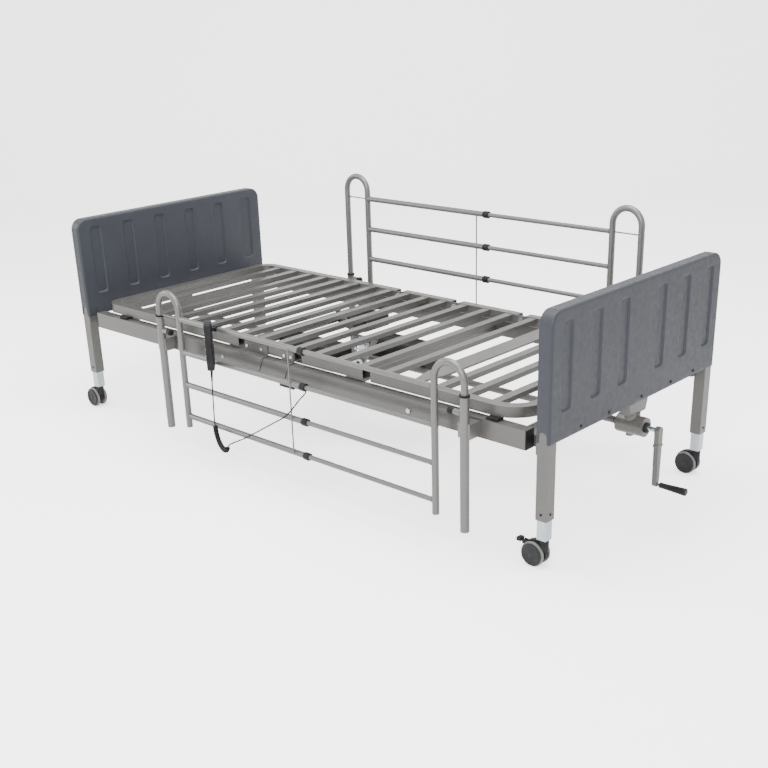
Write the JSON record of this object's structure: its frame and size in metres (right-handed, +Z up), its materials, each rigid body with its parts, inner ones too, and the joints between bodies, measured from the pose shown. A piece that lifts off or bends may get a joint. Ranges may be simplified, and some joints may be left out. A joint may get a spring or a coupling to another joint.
{
  "type": "adjustable hospital bed",
  "caption": "Adjustable hospital bed with slatted hinged deck, hand crank height lift, deck motors, sliding guard rails, moulded end boards and braked swivel casters.",
  "frame": {"origin": "on the floor under the middle of the whole outline, hand crank and hand control included", "axes": "+X points to the foot end, -X to the head end, -Y to the side of the lowered guard, +Z is up"},
  "size_m": [2.475, 1.0535, 0.857],
  "materials": {
    "board_plastic": "fine-grained moulded blue-grey",
    "frame_paint": "satin warm taupe-grey powder coat",
    "guard_paint": "satin mid-grey metallic powder coat",
    "zinc_steel": "bright zinc plate",
    "brass_nut": "turned brass",
    "black_plastic": "textured black moulding",
    "nylon": "dark nylon",
    "black_rubber": "soft black rubber",
    "wheel_tread": "light grey tread on black hubs"
  },
  "bodies": {
    "foot_base": {"foot_inner_legs": "zinc_steel", "foot_lift_nut": "brass_nut"},
    "bed_frame": {"footboard_shell": "board_plastic", "headboard_shell": "board_plastic", "foot_leg_frame": "frame_paint", "head_leg_frame": "frame_paint", "leg_bushes": "nylon", "foot_gear_case": "frame_paint", "head_gear_case": "frame_paint", "side_rails": "frame_paint", "cross_members": "frame_paint", "corner_brackets": "frame_paint", "deck_brackets": "frame_paint", "seat_section": "frame_paint", "seat_hinge_pins": "zinc_steel", "head_motor": "black_plastic", "knee_motor": "black_plastic", "control_box": "black_plastic", "guard_posts": "guard_paint", "end_plugs": "black_rubber", "frame_bolts": "zinc_steel", "cord_plug": "black_plastic"},
    "head_base": {"head_inner_legs": "zinc_steel", "head_lift_nut": "brass_nut"},
    "crank": {"mitre_shafts": "zinc_steel", "drive_tube": "frame_paint", "crank_arm": "frame_paint"},
    "crank_grip": {"crank_grip": "black_plastic"},
    "foot_screw": {"foot_lead_screw": "zinc_steel"},
    "head_screw": {"head_lead_screw": "zinc_steel"},
    "head_section": {"head_section": "frame_paint"},
    "head_rod": {"head_push_rod": "zinc_steel"},
    "thigh_section": {"thigh_section": "frame_paint", "foot_hinge_pins": "zinc_steel"},
    "knee_rod": {"knee_push_rod": "zinc_steel"},
    "foot_section": {"foot_section": "frame_paint"},
    "near_guard": {"near_guard_head_half": "guard_paint", "near_guard_foot_half": "guard_paint", "near_guard_collars": "black_plastic", "pendant": "black_plastic", "pendant_cord": "black_rubber"},
    "far_guard": {"far_guard_head_half": "guard_paint", "far_guard_foot_half": "guard_paint", "far_guard_collars": "black_plastic"},
    "head_switch": {"head_switch": "black_plastic"},
    "knee_switch": {"knee_switch": "black_plastic"},
    "near_head_plunger": {"near_head_plunger": "black_plastic"},
    "near_foot_plunger": {"near_foot_plunger": "black_plastic"},
    "far_head_plunger": {"far_head_plunger": "black_plastic"},
    "far_foot_plunger": {"far_foot_plunger": "black_plastic"},
    "near_foot_caster": {"near_foot_caster": "black_plastic"},
    "near_foot_wheels": {"near_foot_wheels": "wheel_tread"},
    "near_foot_brake": {"near_foot_brake_pedal": "black_plastic"},
    "far_foot_caster": {"far_foot_caster": "black_plastic"},
    "far_foot_wheels": {"far_foot_wheels": "wheel_tread"},
    "near_head_caster": {"near_head_caster": "black_plastic"},
    "near_head_wheels": {"near_head_wheels": "wheel_tread"},
    "far_head_caster": {"far_head_caster": "black_plastic"},
    "far_head_wheels": {"far_head_wheels": "wheel_tread"},
    "far_head_brake": {"far_head_brake_pedal": "black_plastic"}
  },
  "joints": [
    {"name": "lift", "type": "slide", "parent": "foot_base", "child": "bed_frame", "axis": [0, 0, 1], "range_m": [-0.04, 0.13]},
    {"name": "head_lift", "type": "slide", "parent": "bed_frame", "child": "head_base", "axis": [0, 0, -1], "range_m": [-0.04, 0.13]},
    {"name": "crank_turn", "type": "hinge", "parent": "bed_frame", "child": "crank", "pos_m": [-0.0535, 0.0328, 0.305], "axis": [1, 0, 0], "range_deg": [-2880, 9360]},
    {"name": "grip_spin", "type": "hinge", "parent": "crank", "child": "crank_grip", "pos_m": [1.1865, 0.0328, 0.133], "axis": [1, 0, 0], "continuous": true},
    {"name": "foot_screw_turn", "type": "hinge", "parent": "bed_frame", "child": "foot_screw", "pos_m": [1.0405, 0.0328, 0.4], "axis": [0, 0, 1], "range_deg": [-9360, 2880]},
    {"name": "head_screw_turn", "type": "hinge", "parent": "bed_frame", "child": "head_screw", "pos_m": [-1.1475, 0.0328, 0.4], "axis": [0, 0, 1], "range_deg": [-2880, 9360]},
    {"name": "head_hinge", "type": "hinge", "parent": "bed_frame", "child": "head_section", "pos_m": [-0.2485, 0.0228, 0.4285], "axis": [0, 1, 0], "range_deg": [0, 70]},
    {"name": "head_rod_push", "type": "slide", "parent": "bed_frame", "child": "head_rod", "axis": [-1, 0, 0], "range_m": [0, 0.13766]},
    {"name": "knee_hinge", "type": "hinge", "parent": "bed_frame", "child": "thigh_section", "pos_m": [0.0345, 0.0228, 0.4285], "axis": [0, -1, 0], "range_deg": [0, 35]},
    {"name": "knee_rod_push", "type": "slide", "parent": "bed_frame", "child": "knee_rod", "axis": [1, 0, 0], "range_m": [0, 0.07217]},
    {"name": "foot_hinge", "type": "hinge", "parent": "thigh_section", "child": "foot_section", "pos_m": [0.3445, 0.0228, 0.4285], "axis": [0, 1, 0], "range_deg": [0, 51.1]},
    {"name": "near_guard_slide", "type": "slide", "parent": "bed_frame", "child": "near_guard", "axis": [0, 0, 1], "range_m": [0, 0.278]},
    {"name": "far_guard_slide", "type": "slide", "parent": "bed_frame", "child": "far_guard", "axis": [0, 0, 1], "range_m": [-0.278, 0]},
    {"name": "head_switch_tip", "type": "hinge", "parent": "near_guard", "child": "head_switch", "pos_m": [-0.29986, -0.50856, 0.468], "axis": [0.7071, -0.7071, 0], "range_deg": [-5, 5]},
    {"name": "knee_switch_tip", "type": "hinge", "parent": "near_guard", "child": "knee_switch", "pos_m": [-0.29986, -0.50856, 0.41], "axis": [0.7071, -0.7071, 0], "range_deg": [-5, 5]},
    {"name": "near_head_pull", "type": "slide", "parent": "bed_frame", "child": "near_head_plunger", "axis": [1, 0, 0], "range_m": [0, 0.008]},
    {"name": "near_foot_pull", "type": "slide", "parent": "bed_frame", "child": "near_foot_plunger", "axis": [-1, 0, 0], "range_m": [0, 0.008]},
    {"name": "far_head_pull", "type": "slide", "parent": "bed_frame", "child": "far_head_plunger", "axis": [1, 0, 0], "range_m": [0, 0.008]},
    {"name": "far_foot_pull", "type": "slide", "parent": "bed_frame", "child": "far_foot_plunger", "axis": [-1, 0, 0], "range_m": [0, 0.008]},
    {"name": "near_foot_swivel", "type": "hinge", "parent": "foot_base", "child": "near_foot_caster", "pos_m": [1.0405, -0.4127, 0.1], "axis": [0, 0, 1], "continuous": true},
    {"name": "near_foot_roll", "type": "hinge", "parent": "near_foot_caster", "child": "near_foot_wheels", "pos_m": [1.0125, -0.4127, 0.038], "axis": [0, 1, 0], "continuous": true},
    {"name": "near_foot_brake_press", "type": "hinge", "parent": "near_foot_caster", "child": "near_foot_brake", "pos_m": [0.9735, -0.4127, 0.062], "axis": [0, -1, 0], "range_deg": [0, 20]},
    {"name": "far_foot_swivel", "type": "hinge", "parent": "foot_base", "child": "far_foot_caster", "pos_m": [1.0405, 0.4583, 0.1], "axis": [0, 0, 1], "continuous": true},
    {"name": "far_foot_roll", "type": "hinge", "parent": "far_foot_caster", "child": "far_foot_wheels", "pos_m": [1.0125, 0.4583, 0.038], "axis": [0, 1, 0], "continuous": true},
    {"name": "near_head_swivel", "type": "hinge", "parent": "head_base", "child": "near_head_caster", "pos_m": [-1.1475, -0.4127, 0.1], "axis": [0, 0, 1], "continuous": true},
    {"name": "near_head_roll", "type": "hinge", "parent": "near_head_caster", "child": "near_head_wheels", "pos_m": [-1.1755, -0.4127, 0.038], "axis": [0, 1, 0], "continuous": true},
    {"name": "far_head_swivel", "type": "hinge", "parent": "head_base", "child": "far_head_caster", "pos_m": [-1.1475, 0.4583, 0.1], "axis": [0, 0, 1], "continuous": true},
    {"name": "far_head_roll", "type": "hinge", "parent": "far_head_caster", "child": "far_head_wheels", "pos_m": [-1.1755, 0.4583, 0.038], "axis": [0, 1, 0], "continuous": true},
    {"name": "far_head_brake_press", "type": "hinge", "parent": "far_head_caster", "child": "far_head_brake", "pos_m": [-1.2145, 0.4583, 0.062], "axis": [0, -1, 0], "range_deg": [0, 20]}
  ],
  "couplings": [
    {"joint": "head_lift", "follows": "lift", "ratio": 1},
    {"joint": "crank_turn", "follows": "lift", "rad_per_m": 1256.6},
    {"joint": "foot_screw_turn", "follows": "lift", "rad_per_m": -1256.6},
    {"joint": "head_screw_turn", "follows": "lift", "rad_per_m": 1256.6},
    {"joint": "head_rod_push", "follows": "head_hinge", "m_per_rad": 0.11267},
    {"joint": "knee_rod_push", "follows": "knee_hinge", "m_per_rad": 0.11814},
    {"joint": "foot_hinge", "follows": "knee_hinge", "ratio": 1.46}
  ]
}
